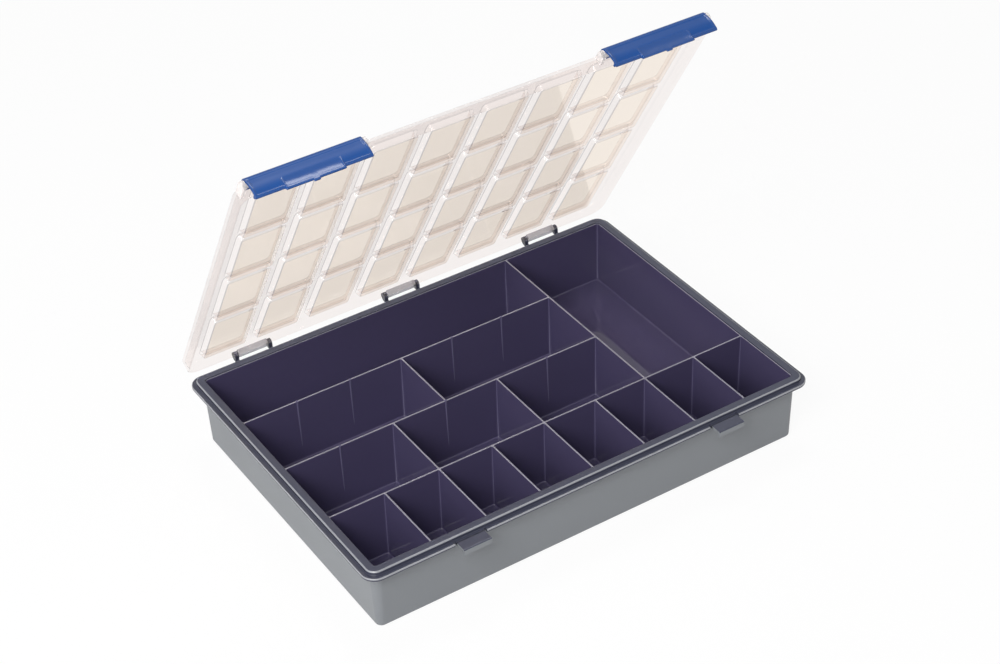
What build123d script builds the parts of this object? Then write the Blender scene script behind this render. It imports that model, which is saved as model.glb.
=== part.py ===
from build123d import *
import os
from math import radians, tan

# Flat compartment storage box: a tray moulded in one piece with its dividers, a clear lid on three
# hinges and two snap clips. Millimetres. X runs right along the front, Y to the back, Z up.
# The origin is the centre of the tray's underside.

# Compartments as (first column line, last column line, first row line, last row line), rows from the front
FRONT_ROW = [(column, column + 1, 0, 1) for column in range(8)]
MIDDLE_ROWS = [(0, 2, 1, 2), (2, 4, 1, 2), (4, 6, 1, 2), (0, 3, 2, 3), (3, 6, 2, 3)]
LARGE_CELLS = [(0, 6, 3, 4), (6, 8, 1, 4)]
CELLS = FRONT_ROW + MIDDLE_ROWS + LARGE_CELLS
COLUMNS = max(cell[1] for cell in CELLS)
ROWS = max(cell[3] for cell in CELLS)
# Stub ribs as (column line, row line), where a divider would cross a plain stretch of row wall
STUB_RIBS = [(1, 3), (2, 3), (4, 3), (5, 3), (1, 2), (3, 2), (5, 2)]

# Compartment grid
column_pitch = 40.0
row_pitch = 56.4
side_margin = 0.1
end_margin = -1.1
floor_thickness = 1.5
cell_depth = 48.2
divider_top_width = 1.2
divider_foot_width = 2.2
cell_corner_cut = 0.8
cell_floor_bevel = 0.9
inner_corner_radius = 4.0
rim_corner_radius = 3.4
inner_draft = 1.5
stub_rib_radius = 1.0

# Tray walls and rim
wall_thickness = 2.2
outer_draft = 1.75
body_corner_radius = 6.0
bottom_edge_radius = 2.0
rim_rise = 0.9
band_width = 5.6
band_thickness = 1.5
flange_reach = 8.9
flange_thickness = 2.2
flange_drop = 2.0
flange_corner_radius = 10.0
band_edge_radius = 1.2
flange_edge_bevel = 0.5

# Catches on the front of the flange
catch_offset = 96.9
catch_width = 20.0
catch_reach = 7.7
catch_lip_thickness = 1.6
catch_lip_drop = 4.5
catch_edge_radius = 1.0
notch_width = 1.6
notch_depth = 2.4

# Hinges
hinge_offset = 117.4
hinge_setback = 3.4
hinge_height = 2.3
cheek_spacing = 25.0
cheek_thickness = 2.2
cheek_radius = 2.7
pin_radius = 1.25
pin_clearance = 0.05
running_gap = 0.3
barrel_radius = 2.2

# Lid
lid_thickness = 1.5
lid_height = 57.0
lid_skirt_thickness = 1.8
lid_edge_radius = 1.5
pad_width = 31.0
pad_length = 52.8
pad_depth = 4.5
pad_slope = 1.2
pad_corner_cut = 1.2
lid_open_angle = 59.0

# Clips and the hinge bars that they swing on
clip_offset = 126.0
clip_length = 78.0
clip_thickness = 1.5
bar_radius = 2.25
bar_clearance = 0.08
bar_end_thickness = 2.4
bar_end_radius = 3.0
hook_end_angle = -20.0
nose_thickness = 1.5
nose_overlap = 1.1
clip_bulge = 1.2
clip_tail = 1.6
clip_rib_width = 1.8
clip_panel_depth = 0.4
thumb_width = 40.0
thumb_drop = 1.8
thumb_flare = 0.9
thumb_scoop_radius = 7.0
thumb_scoop_depth = 0.5
thumb_tab_width = 4.0
thumb_tab_drop = 1.0
clip_swing = 8.0

# Levels and outlines that follow
divider_top = floor_thickness + cell_depth
rim_top = divider_top + rim_rise
flange_top = divider_top - flange_drop
flange_bottom = flange_top - flange_thickness
cavity_half_x = COLUMNS * column_pitch / 2 + side_margin
cavity_half_y = ROWS * row_pitch / 2 + end_margin
flange_half_x = cavity_half_x + flange_reach
flange_half_y = cavity_half_y + flange_reach
hinge_y = flange_half_y + hinge_setback
hinge_z = flange_top + hinge_height
catch_front = -flange_half_y - catch_reach
catch_lip_bottom = flange_top - catch_lip_drop
hook_radius = bar_radius + bar_clearance + clip_thickness
clip_back = catch_front - 2 * running_gap
bar_y = clip_back - clip_thickness + hook_radius
bar_z = lid_height - hook_radius
clip_front = clip_back - clip_thickness
clip_bottom = catch_lip_bottom - running_gap - nose_thickness - clip_tail
clip_middle = (bar_z + clip_bottom) / 2
clip_centres = [-clip_offset, clip_offset]
hinge_centres = [-hinge_offset, 0, hinge_offset]
hinge_axis = Axis((0, hinge_y, hinge_z), (-1, 0, 0))


def rounded_slab(half_x, half_y, radius, bottom, top):
    """Upright slab with rounded corners, centred on the tray."""
    outline = RectangleRounded(2 * half_x, 2 * half_y, radius)
    return extrude(Pos(0, 0, bottom) * outline, top - bottom)


def drafted_block(foot_sides, foot_level, top_sides, top_level):
    """Block with flat drafted sides between two rectangles, each given as west, east, south, north."""
    rings = []
    for (west, east, south, north), level in ((foot_sides, foot_level), (top_sides, top_level)):
        rings.append([(west, south, level), (east, south, level), (east, north, level), (west, north, level)])
    foot, top = rings
    loops = rings + [[foot[k - 1], foot[k], top[k], top[k - 1]] for k in range(4)]
    faces = [make_face(Polyline(*loop, close=True)).face() for loop in loops]
    return Solid(Shell(faces))


def upright_edges(block):
    """The drafted edges that run from a block's foot to its top."""
    return [edge for edge in block.edges() if abs(edge.tangent_at(0).Z) > 0.7]


def centred_sides(half_x, half_y):
    """West, east, south and north limits of a rectangle about the origin."""
    return -half_x, half_x, -half_y, half_y


def cell_sides(cell, half_divider, outer_inset):
    """West, east, south and north limits of a compartment between half dividers and outer walls."""
    first_column, last_column, first_row, last_row = cell
    west = (first_column - COLUMNS / 2) * column_pitch + half_divider
    east = (last_column - COLUMNS / 2) * column_pitch - half_divider
    south = (first_row - ROWS / 2) * row_pitch + half_divider
    north = (last_row - ROWS / 2) * row_pitch - half_divider
    if first_column == 0:
        west = outer_inset - cavity_half_x
    if last_column == COLUMNS:
        east = cavity_half_x - outer_inset
    if first_row == 0:
        south = outer_inset - cavity_half_y
    if last_row == ROWS:
        north = cavity_half_y - outer_inset
    return west, east, south, north


def compartment(cell):
    """Drafted hollow of one compartment: cut corners, rounded ones in the tray's corners, bevelled floor."""
    drafted = cell_depth * tan(radians(inner_draft))
    foot_sides = cell_sides(cell, divider_foot_width / 2, drafted)
    top_sides = cell_sides(cell, divider_top_width / 2, 0)
    hollow = drafted_block(foot_sides, floor_thickness, top_sides, divider_top)
    reach = cavity_half_x + cavity_half_y - column_pitch / 4
    tray_corners = [edge for edge in upright_edges(hollow)
                    if abs((edge @ 1).X) + abs((edge @ 1).Y) > reach]
    plain_corners = [edge for edge in upright_edges(hollow) if edge not in tray_corners]
    spots = [edge @ 0.5 for edge in tray_corners]
    hollow = chamfer(plain_corners, cell_corner_cut)
    for spot in spots:
        hollow = fillet(hollow.edges().sort_by_distance(spot)[0], inner_corner_radius)
    return chamfer(hollow.faces().sort_by(Axis.Z)[0].edges(), cell_floor_bevel)


def tray_shell():
    """Drafted outer body with the stepped rim, still solid inside."""
    wall_x = cavity_half_x + wall_thickness
    wall_y = cavity_half_y + wall_thickness
    neck = Pos(0, 0, flange_bottom) * RectangleRounded(2 * wall_x, 2 * wall_y, body_corner_radius)
    body = extrude(neck, -flange_bottom, taper=outer_draft)
    body = fillet(body.faces().sort_by(Axis.Z)[0].edges(), bottom_edge_radius)
    band_inset = flange_reach - band_width
    band_corner = flange_corner_radius - band_inset
    band = rounded_slab(flange_half_x - band_inset, flange_half_y - band_inset, band_corner,
                        flange_bottom, rim_top)
    band = fillet(band.faces().sort_by(Axis.Z)[-1].edges(), band_edge_radius)
    flange = rounded_slab(flange_half_x, flange_half_y, flange_corner_radius, flange_bottom, flange_top)
    flange = chamfer(flange.edges().filter_by(Plane.XY), flange_edge_bevel)
    channel_outer = rounded_slab(flange_half_x - band_inset - band_thickness,
                                 flange_half_y - band_inset - band_thickness,
                                 band_corner - band_thickness, flange_bottom, rim_top - band_thickness)
    channel_inner = rounded_slab(wall_x, wall_y, body_corner_radius, flange_bottom, rim_top - band_thickness)
    return body + band + flange - (channel_outer - channel_inner)


def front_catch(centre_x):
    """Hooked plate that the clip's nose goes under, with a relief notch on each side."""
    root_y = 1 - flange_half_y
    side = make_face(Polyline(
        (root_y, flange_bottom + flange_edge_bevel), (root_y, flange_top), (catch_front, flange_top),
        (catch_front, catch_lip_bottom), (catch_front + catch_lip_thickness, catch_lip_bottom),
        (catch_front + catch_lip_thickness, flange_bottom + flange_edge_bevel), close=True))
    left_x = centre_x - catch_width / 2
    plate = extrude(Plane.YZ.offset(left_x) * side, catch_width)
    top_front = plate.edges().filter_by(Axis.X).group_by(Axis.Y)[0].sort_by(Axis.Z)[-1]
    return fillet(top_front, catch_edge_radius)


def catch_notches(centre_x):
    """The two relief notches that part a catch from the flange beside it."""
    offset = (catch_width + notch_width) / 2
    height = 2 * flange_thickness
    notch = Box(notch_width, 2 * notch_depth, height)
    spots = [(centre_x - offset, -flange_half_y, flange_bottom), (centre_x + offset, -flange_half_y, flange_bottom)]
    return [Pos(*spot) * notch for spot in spots]


def hinge_cheek(centre_x):
    """Horn-shaped cheek that rises from the flange behind the lid and holds one hinge pin."""
    root_y = flange_half_y - 1
    front_y = hinge_y - cheek_radius
    foot_z = flange_bottom + flange_edge_bevel
    outline = Polyline((hinge_y, hinge_z + cheek_radius), (hinge_y, hinge_z), (front_y, hinge_z),
                       (front_y, flange_top), (root_y, flange_top), (root_y, foot_z))
    back = ThreePointArc((root_y, foot_z), (hinge_y, hinge_z - 1.25 * cheek_radius),
                         (hinge_y + cheek_radius, hinge_z))
    crown = RadiusArc((hinge_y + cheek_radius, hinge_z), (hinge_y, hinge_z + cheek_radius), -cheek_radius)
    side = make_face(outline + back + crown) + Pos(hinge_y, hinge_z) * Circle(cheek_radius)
    side -= Pos(hinge_y, hinge_z) * Circle(pin_radius + pin_clearance)
    return extrude(Plane.YZ.offset(centre_x - cheek_thickness / 2) * side, cheek_thickness)


def stub_rib(column_line, row_line):
    """Slim round post in a row wall that the wall's draft swallows towards the floor."""
    x = (column_line - COLUMNS / 2) * column_pitch
    y = (row_line - ROWS / 2) * row_pitch
    return Pos(x, y, floor_thickness / 2) * Cylinder(
        stub_rib_radius, divider_top - floor_thickness / 2, align=(Align.CENTER, Align.CENTER, Align.MIN))


def make_tray():
    """Tray with all its moulded features."""
    tray = tray_shell()
    tray -= rounded_slab(cavity_half_x, cavity_half_y, rim_corner_radius, divider_top, rim_top + 1)
    tray -= [compartment(cell) for cell in CELLS]
    tray += [stub_rib(*spot) for spot in STUB_RIBS]
    for centre_x in (-catch_offset, catch_offset):
        tray -= catch_notches(centre_x)
        tray += front_catch(centre_x)
    cheeks = [hinge_cheek(x + side * cheek_spacing / 2) for x in hinge_centres for side in (-1, 1)]
    return tray + cheeks


def pad_block(inset, top_level):
    """Drafted block the size of a pad, or of the hollow in it where the inset is a wall's thickness."""
    half_x = pad_width / 2 - inset
    half_y = pad_length / 2 - inset
    block = drafted_block(centred_sides(half_x, half_y), top_level - pad_depth,
                          centred_sides(half_x + pad_slope, half_y + pad_slope), top_level)
    return chamfer(upright_edges(block), pad_corner_cut)


def lid_pads():
    """Pads that stand down over the grid, each with the recess above it that keeps the wall even."""
    pad = pad_block(0, lid_height - lid_thickness)
    recess = pad_block(lid_thickness, lid_height)
    spots = GridLocations(column_pitch, row_pitch, COLUMNS, ROWS)
    return [spot * pad for spot in spots], [spot * recess for spot in spots]


def hinge_barrel(centre_x):
    """Barrel between two cheeks, with a trunnion pin at each end and a web to the lid's back wall."""
    barrel_length = cheek_spacing - cheek_thickness - 2 * running_gap
    pin_length = cheek_spacing + cheek_thickness
    turned = Rot(0, 90, 0)
    barrel = Pos(centre_x, hinge_y, hinge_z) * turned * Cylinder(barrel_radius, barrel_length)
    pin = Pos(centre_x, hinge_y, hinge_z) * turned * Cylinder(pin_radius, pin_length)
    web_front = flange_half_y - lid_skirt_thickness / 2
    web_bottom = flange_top + running_gap
    web = Pos(centre_x, (web_front + hinge_y) / 2, (web_bottom + hinge_z + barrel_radius) / 2) * Box(
        barrel_length, hinge_y - web_front, hinge_z + barrel_radius - web_bottom)
    return barrel + pin + web


def clip_bar(centre_x):
    """Hinge bar for one clip, held by an end plate on each side of the clip."""
    span = clip_length + 2 * running_gap
    bar = Pos(centre_x, bar_y, bar_z) * Rot(0, 90, 0) * Cylinder(bar_radius, span + bar_end_thickness)
    root_y = flange_corner_radius / 2 - flange_half_y
    side = Pos(bar_y, bar_z) * Circle(bar_end_radius)
    side += Pos((bar_y + root_y) / 2, bar_z) * Rectangle(root_y - bar_y, 2 * bar_end_radius)
    ends = []
    for direction in (-1, 1):
        middle_x = centre_x + direction * (span + bar_end_thickness) / 2
        ends.append(extrude(Plane.YZ.offset(middle_x - bar_end_thickness / 2) * side, bar_end_thickness))
    return bar + ends


def make_lid():
    """Clear lid, modelled closed and then opened to its resting angle."""
    skirt_bottom = flange_top + running_gap
    under_plate = lid_height - lid_thickness
    shell = rounded_slab(flange_half_x, flange_half_y, flange_corner_radius, skirt_bottom, lid_height)
    shell = fillet(shell.faces().sort_by(Axis.Z)[-1].edges(), lid_edge_radius)
    inside = rounded_slab(flange_half_x - lid_skirt_thickness, flange_half_y - lid_skirt_thickness,
                          flange_corner_radius - lid_skirt_thickness, skirt_bottom, under_plate)
    pads, recesses = lid_pads()
    lid = shell - inside + pads - recesses
    lid += [hinge_barrel(x) for x in hinge_centres]
    lid += [clip_bar(x) - inside for x in clip_centres]
    return lid.rotate(hinge_axis, lid_open_angle)


def clip_section():
    """Side face of a clip: a hook round the bar, a bowed plate and a nose that goes under the catch."""
    nose_top = catch_lip_bottom - running_gap
    nose_tip = catch_front + nose_overlap
    bore = bar_radius + bar_clearance
    centre = Pos(bar_y, bar_z)
    ring = centre * (Circle(hook_radius) - Circle(bore))
    mouth = centre * make_face(Polyline(
        (0, 0), Vector(2 * hook_radius, 0).rotate(Axis.Z, hook_end_angle),
        (2 * hook_radius, -2 * hook_radius), (-bore, -2 * hook_radius), (-bore, 0), close=True))
    plate = make_face([
        ThreePointArc((clip_front, bar_z), (clip_front - clip_bulge, clip_middle), (clip_front, clip_bottom)),
        Line((clip_front, clip_bottom), (clip_back, clip_bottom)),
        ThreePointArc((clip_back, clip_bottom), (clip_back - clip_bulge, clip_middle), (clip_back, bar_z)),
        Line((clip_back, bar_z), (clip_front, bar_z)),
    ])
    nose = Pos((clip_front + nose_tip) / 2, nose_top - nose_thickness / 2) * Rectangle(
        nose_tip - clip_front, nose_thickness)
    return (ring - mouth) + plate + nose


def clip_panel():
    """Side face of the shallow panel sunk in a clip's plate, above the bead along its lower edge."""
    sunk_front = clip_front + clip_panel_depth
    outside = clip_front - 2 * clip_bulge
    panel = make_face([
        ThreePointArc((sunk_front, bar_z), (sunk_front - clip_bulge, clip_middle), (sunk_front, clip_bottom)),
        Polyline((sunk_front, clip_bottom), (outside, clip_bottom), (outside, bar_z), (sunk_front, bar_z)),
    ])
    height = bar_z - clip_bottom - clip_rib_width
    return panel & Pos(clip_front, bar_z - height / 2) * Rectangle(6 * clip_bulge, height)


def make_clip(centre_x):
    """Snap clip with a sunk panel between its end ribs, a scooped thumb lip and a tab on the lip."""
    left_x = centre_x - clip_length / 2
    clip = extrude(Plane.YZ.offset(left_x) * clip_section(), clip_length)
    clip -= extrude(Plane.YZ.offset(left_x + clip_rib_width) * clip_panel(), clip_length - 2 * clip_rib_width)
    lip_bottom = clip_bottom - thumb_drop
    lip_front = clip_front - thumb_flare
    thumb = make_face(Polyline(
        (clip_back, clip_middle), (clip_back, clip_bottom), (clip_back - thumb_flare, lip_bottom),
        (lip_front, lip_bottom), (clip_front - clip_bulge + clip_panel_depth, clip_middle), close=True))
    clip += extrude(Plane.YZ.offset(centre_x - thumb_width / 2) * thumb, thumb_width)
    scoop = Pos(centre_x, lip_front + thumb_scoop_depth - thumb_scoop_radius, (clip_middle + lip_bottom) / 2)
    clip -= scoop * Rot(0, 90, 0) * Cylinder(thumb_scoop_radius, thumb_width - 2 * clip_thickness)
    clip += Pos(centre_x, lip_front + clip_thickness / 2, lip_bottom) * Box(
        thumb_tab_width, clip_thickness, 2 * thumb_tab_drop)
    clip = clip.rotate(Axis((0, bar_y, bar_z), (-1, 0, 0)), clip_swing)
    return clip.rotate(hinge_axis, lid_open_angle)


def main():
    pieces = {
        "tray": make_tray(),
        "lid": make_lid(),
        "clip_left": make_clip(clip_centres[0]),
        "clip_right": make_clip(clip_centres[1]),
    }
    os.makedirs("parts", exist_ok=True)
    for name, piece in pieces.items():
        export_step(piece, f"parts/{name}.step")
        print(name, "solids", len(piece.solids()), "volume", round(piece.volume))
    bar = Pos(0, bar_y, bar_z) * Box(1, 1, 1)
    print("clip bar centre at rest", bar.rotate(hinge_axis, lid_open_angle).center())
    print("hinge axis", hinge_y, hinge_z)


if __name__ == "__main__":
    main()
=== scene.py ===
from math import cos, hypot, pi, radians, sin, tan

import bmesh
import bpy
from mathutils import Matrix, Vector


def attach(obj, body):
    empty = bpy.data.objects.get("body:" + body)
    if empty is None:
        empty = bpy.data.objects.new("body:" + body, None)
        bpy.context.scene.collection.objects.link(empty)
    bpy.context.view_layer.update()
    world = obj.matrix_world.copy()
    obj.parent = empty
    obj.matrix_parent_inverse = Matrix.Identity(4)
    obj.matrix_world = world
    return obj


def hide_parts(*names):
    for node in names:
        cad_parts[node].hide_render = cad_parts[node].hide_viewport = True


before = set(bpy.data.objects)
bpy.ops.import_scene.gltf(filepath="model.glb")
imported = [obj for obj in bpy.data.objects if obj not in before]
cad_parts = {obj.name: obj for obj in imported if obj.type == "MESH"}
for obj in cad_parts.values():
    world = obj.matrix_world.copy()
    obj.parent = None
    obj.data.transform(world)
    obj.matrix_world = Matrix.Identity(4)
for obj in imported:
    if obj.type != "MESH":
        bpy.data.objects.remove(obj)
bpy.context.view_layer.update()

bl_info = {
    "name": "Compartment storage box",
    "version": (1, 0, 0),
    "blender": (4, 5, 0),
    "location": "3D View > Sidebar > Storage box",
    "description": "Dresses the moulded tray, the clear lid and the snap clips of a flat storage box",
    "category": "Object",
}

MM = 0.001

# Compartments as (first column line, last column line, first row line, last row line), rows from the front
COLUMNS = 8
ROWS = 4
CELLS = [(column, column + 1, 0, 1) for column in range(COLUMNS)]
CELLS += [(0, 2, 1, 2), (2, 4, 1, 2), (4, 6, 1, 2), (0, 3, 2, 3), (3, 6, 2, 3), (0, 6, 3, 4), (6, 8, 1, 4)]
# Stub ribs as (column line, row line)
STUB_RIBS = [(1, 3), (2, 3), (4, 3), (5, 3), (1, 2), (3, 2), (5, 2)]

# Places that the pieces share, in millimetres, with the lid closed
CAVITY = (160.1, 111.7)
TOP_INSET = 0.45
DRAFT_INSET = 1.262
DIVIDER_TOP = 49.7
RIM_TOP = 50.6
FLOOR_TOP = 1.5
FLANGE_TOP = 47.7
FLANGE_BOTTOM = 45.5
FLANGE_REACH = 8.9
BAND_REACH = 5.6
WALL = 2.2
HINGE = (124.0, 50.0)
HINGES = (-117.4, 0.0, 117.4)
CHEEK_SPACING = 25.0
CHEEK_RADIUS = 2.7
BARREL_RADIUS = 2.2
PIN_RADIUS = 1.25
CATCHES = (-96.9, 96.9)
CATCH_FRONT = -128.3
CATCH_HALF = 10
NOTCH_OFFSET = 10.8
NOTCH_HALF = 0.8
LID_HALF = (169.0, 120.6)
LID_TOP = 57.0
SKIRT_BOTTOM = 48.0
CLIPS = (-126.0, 126.0)
CLIP_LENGTH = 78.0
BAR = (-126.57, 53.17)
BAR_RADIUS = 2.25
BAR_END_RADIUS = 3
BORE_CLEARANCE = 0.08
RUNNING_GAP = 0.3
HOOK_RADIUS = 3.83
CLIP_BACK = -128.9
CLIP_FRONT = -130.4
CLIP_BOTTOM = 39.8
CLIP_MIDDLE = (BAR[1] + CLIP_BOTTOM) / 2
NOSE_BOTTOM = 41.4
NOSE_TOP = 42.9
NOSE_TIP = -127.2

# Places of the tray's materials in its list
INNER, OUTER, DIVIDER_HIGHLIGHT, RIM, TOP, RIM_HIGHLIGHT, CORNER_HIGHLIGHT = range(7)


def turn_about(y, z, degrees):
    """Turn about an axis along X, the way that the lid opens."""
    centre = Vector((0, y, z))
    turn = Matrix.Rotation(radians(degrees), 4, Vector((-1, 0, 0)))
    return Matrix.Translation(centre) @ turn @ Matrix.Translation(-centre)


OPENED = turn_about(*HINGE, 59)
CLIP_OPENED = OPENED @ turn_about(*BAR, 8)


# Sizes and colours that can be changed in the sidebar

def length(name, description, default):
    """Length property, its default given in millimetres."""
    return bpy.props.FloatProperty(name=name, description=description, default=default * MM,
                                   unit="LENGTH", precision=5)


def colour(name, description, default):
    """Linear colour property."""
    return bpy.props.FloatVectorProperty(name=name, description=description, default=default,
                                         subtype="COLOR", size=3, min=0.0, max=1.0)


def share(name, description, default):
    """Property between nought and one."""
    return bpy.props.FloatProperty(name=name, description=description, default=default,
                                   min=0.0, max=1.0, subtype="FACTOR")


class TraySettings(bpy.types.PropertyGroup):
    column_pitch: length("Column pitch", "Distance between column lines of the grid", 40.0)
    row_pitch: length("Row pitch", "Distance between row lines of the grid", 56.4)
    divider_top: length("Divider top", "Thickness of a divider at its top", 1.2)
    divider_foot: length("Divider foot", "Thickness of a divider at the floor", 2.2)
    edge_radius: length("Edge radius", "Rounding along the tops of the dividers", 0.35)
    floor_radius: length("Floor radius", "Rounding where the walls meet the floor", 1.2)
    rib_radius: length("Rib radius", "Radius of the round stub ribs in the row walls", 1.0)
    # Painted shade: the inside of the compartments is a darker, more violet copy of the same plastic as the
    # outer walls.
    inner_shaded_colour: colour("Inner colour", "Polished plastic inside the compartments", (0.069, 0.059, 0.122))
    rim_colour: colour("Rim colour", "Satin plastic of the flange, the rim's sides and the hinge cheeks",
                       (0.046, 0.049, 0.076))
    # Painted light: the rim top and the catches' tops are a little lighter than the flange, which also faces
    # up.
    lit_top_colour: colour("Rim top colour", "Satin plastic of the tops of the rim and the catches",
                       (0.050, 0.054, 0.086))
    # Painted highlight: the pale line on the rounded edges of the rim and the flange is a painted glint, not
    # a colour of the plastic.
    painted_line_colour: colour("Rim line colour", "Painted highlight along the rounded edges of the rim",
                        (0.265, 0.272, 0.300))
    # Painted highlight: the paler stub ribs and rounded vertical corners stand in for light reflected on
    # them.
    corner_highlight_colour: colour("Corner colour", "Painted highlight on the stub ribs and in the compartments' corners",
                          (0.118, 0.106, 0.190))
    # Painted light: the outer walls are a lighter copy of the same plastic as the inside. Their texture lies
    # only in the roughness and grain.
    outer_lit_colour: colour("Outer colour", "Finely textured plastic of the outer walls and the catches",
                         (0.200, 0.212, 0.228))
    # Painted highlight: the paler tops of the dividers stand in for light caught on their rounded edges.
    divider_highlight_colour: colour("Edge colour", "Painted highlight along the tops of the dividers", (0.240, 0.232, 0.285))
    polish: share("Inner roughness", "Roughness of the polished surfaces", 0.05)
    satin: share("Rim roughness", "Roughness of the rim", 0.13)
    texture: share("Outer roughness", "Roughness of the textured surfaces", 0.42)


class LidSettings(bpy.types.PropertyGroup):
    thickness: length("Wall", "Thickness of the lid's plate", 1.5)
    pad_width: length("Pad width", "Width of a pad across the columns", 31.0)
    pad_length: length("Pad length", "Length of a pad across the rows", 52.8)
    pad_depth: length("Pad depth", "How far a pad stands down", 4.5)
    pad_slope: length("Pad slope", "How far a pad's side leans out over its depth", 1.2)
    pad_corner: length("Pad corner", "Corner radius of a pad", 1.6)
    clear_colour: colour("Clear colour", "Tint of the plain lid plastic", (0.945, 0.905, 0.890))
    pad_colour: colour("Pad colour", "Warm tint where the pads stand down", (0.915, 0.83, 0.745))
    # Painted shade: the darker line on the pads' rounded edges stands in for the refraction lines of a lid
    # that bends light more.
    painted_line_colour: colour("Line colour", "Painted shade along the rounded edges of the pads", (0.60, 0.565, 0.56))
    barrel_colour: colour("Barrel colour", "Tint of the thick hinge barrels", (0.55, 0.55, 0.58))
    haze: share("Haze", "Roughness of the clear plastic", 0.08)
    bend: bpy.props.FloatProperty(name="Refraction", description="How strongly the thin lid bends light",
                                  default=1.025, min=1.0, max=1.6)


class ClipSettings(bpy.types.PropertyGroup):
    bulge: length("Bulge", "How far the plate of a clip bows outwards", 1.2)
    rib_width: length("Rib width", "Width of the raised ribs at the ends and of the bead below", 1.8)
    panel_depth: length("Panel depth", "How far the panel lies below the ribs", 0.4)
    thumb_width: length("Thumb width", "Width of the lip that a thumb pulls", 40.0)
    thumb_drop: length("Thumb drop", "How far the lip reaches below the plate", 1.8)
    thumb_flare: length("Thumb flare", "How far the lip stands out at its edge", 0.9)
    scoop_depth: length("Scoop depth", "Depth of the hollow that the thumb rests in", 0.5)
    tab_drop: length("Tab drop", "How far the small tab reaches below the lip", 1.0)
    blue: colour("Clip colour", "Deep blue of the moulded clips", (0.003, 0.058, 0.250))
    satin: share("Clip roughness", "Roughness of the plate and the hook", 0.42)
    polish: share("Thumb lip roughness", "Roughness of the lip and the beads, rubbed smooth", 0.22)


class StageSettings(bpy.types.PropertyGroup):
    floor_half: length("Floor half width", "Half the width of the square floor", 5000)
    whiteness: share("Floor whiteness", "How far the floor shows as plain white behind the box", 0.92)


# Mesh helpers: rings of points in millimetres, skinned into surfaces

def rounded_ring(sides, radii, level, steps):
    """Rectangle with rounded corners, anticlockwise from its south-east corner."""
    west, east, south, north = sides
    spots = ((east, south, 1, -1), (east, north, 1, 1), (west, north, -1, 1), (west, south, -1, -1))
    points = []
    for k, (x, y, side_x, side_y) in enumerate(spots):
        radius = max(radii[k], 0.02)
        for step in range(steps + 1):
            angle = radians(90 * (k - 1 + step / steps))
            points.append(Vector((x - side_x * radius + radius * cos(angle),
                                  y - side_y * radius + radius * sin(angle), level)))
    return points


def centred(half_x, half_y):
    """West, east, south and north limits of a rectangle about the middle."""
    return -half_x, half_x, -half_y, half_y


def skin(mesh, rings):
    """Faces between rings that have the same number of points; gives back their vertices."""
    loops = [[mesh.verts.new(point) for point in ring] for ring in rings]
    for lower, upper in zip(loops, loops[1:]):
        for k, vertex in enumerate(lower):
            mesh.faces.new((lower[k - 1], vertex, upper[k], upper[k - 1]))
    return loops


def fill(mesh, *loops):
    """Flat fill inside the first loop and round the others."""
    edges = []
    for loop in loops:
        for k, vertex in enumerate(loop):
            pair = (loop[k - 1], vertex)
            edges.append(mesh.edges.get(pair) or mesh.edges.new(pair))
    bmesh.ops.triangle_fill(mesh, use_beauty=True, edges=edges)


def quarter(start, end, hollow, steps=3):
    """Points of a quarter round from start to end, bulging to the corner or away from it."""
    (u0, v0), (u1, v1) = start, end
    points = []
    for step in range(steps + 1):
        angle = pi / 2 * step / steps
        if hollow:
            share_u, share_v = 1 - cos(angle), sin(angle)
        else:
            share_u, share_v = sin(angle), 1 - cos(angle)
        points.append((u0 + (u1 - u0) * share_u, v0 + (v1 - v0) * share_v))
    return points


def arc(centre, radius, degrees):
    """Points round a centre in the YZ plane at the given angles."""
    y, z = centre
    return [(y + radius * cos(radians(a)), z + radius * sin(radians(a))) for a in degrees]


def extruded(mesh, outline, start_x, end_x):
    """Prism of a closed outline in the YZ plane between two places along X."""
    loops = skin(mesh, [[Vector((x, y, z)) for y, z in outline] for x in (start_x, end_x)])
    mesh.faces.new(loops[0])
    mesh.faces.new(loops[1])
    return loops


def round_rod(mesh, y, z, radius, start_x, end_x, bevel=0.2, segments=32):
    """Round rod along X with softened ends."""
    rings = []
    angles = [2 * pi * k / segments for k in range(segments)]
    for x, size in ((start_x, radius - bevel), (start_x + bevel, radius), (end_x - bevel, radius),
                    (end_x, radius - bevel)):
        rings.append([Vector((x, y + size * cos(angle), z + size * sin(angle))) for angle in angles])
    loops = skin(mesh, rings)
    mesh.faces.new(loops[0])
    mesh.faces.new(loops[-1])


def to_object(name, mesh, placement=Matrix.Identity(4)):
    """Turns a mesh in millimetres into an object in metres, its faces outwards."""
    bmesh.ops.remove_doubles(mesh, verts=mesh.verts, dist=0.001)
    mesh.transform(Matrix.Scale(MM, 4) @ placement)
    bmesh.ops.recalc_face_normals(mesh, faces=mesh.faces)
    data = bpy.data.meshes.new(name)
    mesh.to_mesh(data)
    mesh.free()
    made = bpy.data.objects.new(name, data)
    bpy.context.scene.collection.objects.link(made)
    return made


def settle(piece, materials, body, node_name, sharp=35):
    """Smooths a piece, gives it its materials, says what it rides on and hides the CAD part that it takes the
    place of.
    """
    for material in materials:
        piece.data.materials.append(material)
    piece.data.shade_smooth()
    piece.data.set_sharp_from_angle(angle=radians(sharp))
    weigh = piece.modifiers.new("even normals", "WEIGHTED_NORMAL")
    weigh.keep_sharp = True
    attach(piece, body)
    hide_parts(node_name)


def baked(piece):
    """Replaces an object's mesh by its evaluated one and clears its modifiers."""
    graph = bpy.context.evaluated_depsgraph_get()
    result = bpy.data.meshes.new_from_object(piece.evaluated_get(graph))
    piece.modifiers.clear()
    piece.data = result
    return piece


# Node helpers

def node(tree, kind, x, y, **settings):
    """Adds a node at a place in the editor and sets its own properties."""
    made = tree.nodes.new(kind)
    made.location = (x, y)
    for name, value in settings.items():
        setattr(made, name, value)
    return made


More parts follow.
